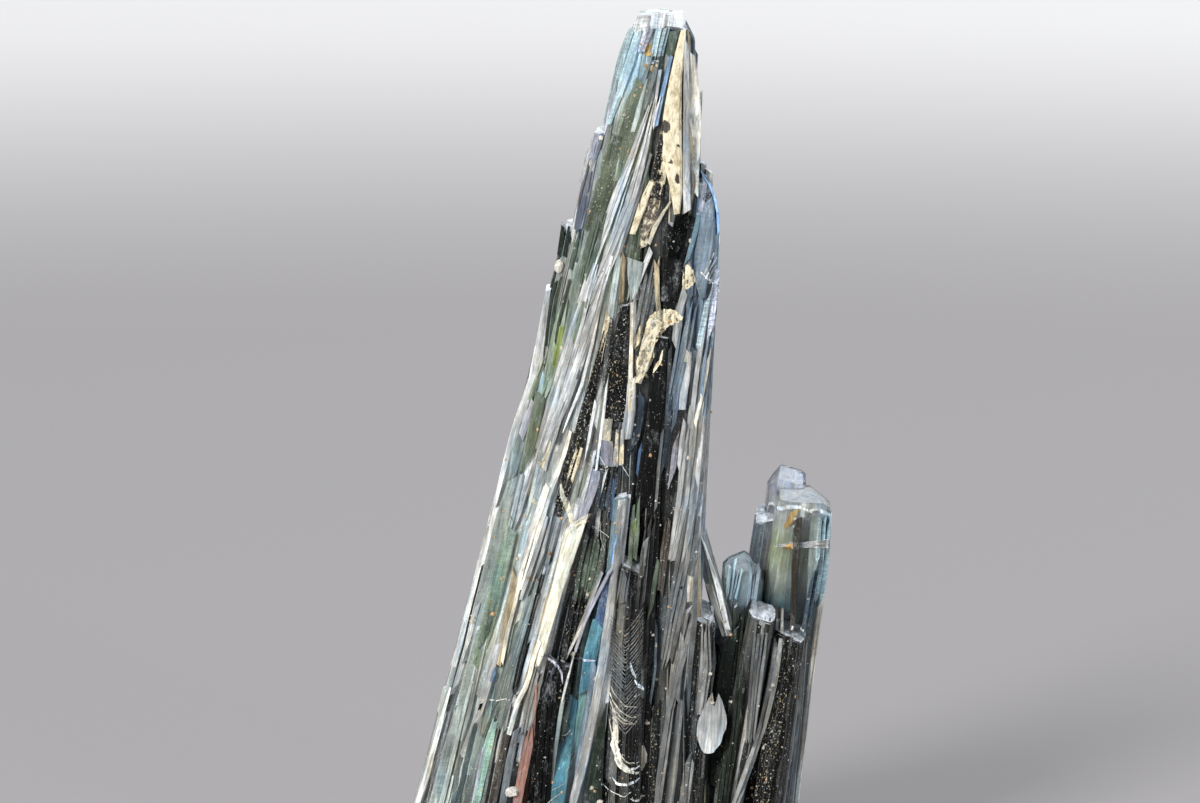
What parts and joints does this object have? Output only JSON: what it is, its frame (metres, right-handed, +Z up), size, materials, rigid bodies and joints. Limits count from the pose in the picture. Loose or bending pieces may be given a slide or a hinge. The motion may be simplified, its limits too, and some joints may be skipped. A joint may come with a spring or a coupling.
{
  "type": "vivianite crystal specimen",
  "caption": "Tall tapering spear of parallel striated crystal blades with a cluster of shorter blunt prisms at its side, cut off flat at the root.",
  "frame": {"origin": "on the flat cut at the root, under the middle of the group", "axes": "+Z up along the spear from the cut, +X towards the cluster of short prisms at its side, +Y towards the back"},
  "size_m": [0.0221, 0.0105, 0.0447],
  "materials": {
    "crystal": "gloss"
  },
  "bodies": {
    "root": {"crystal_cluster": "crystal"}
  },
  "joints": []
}
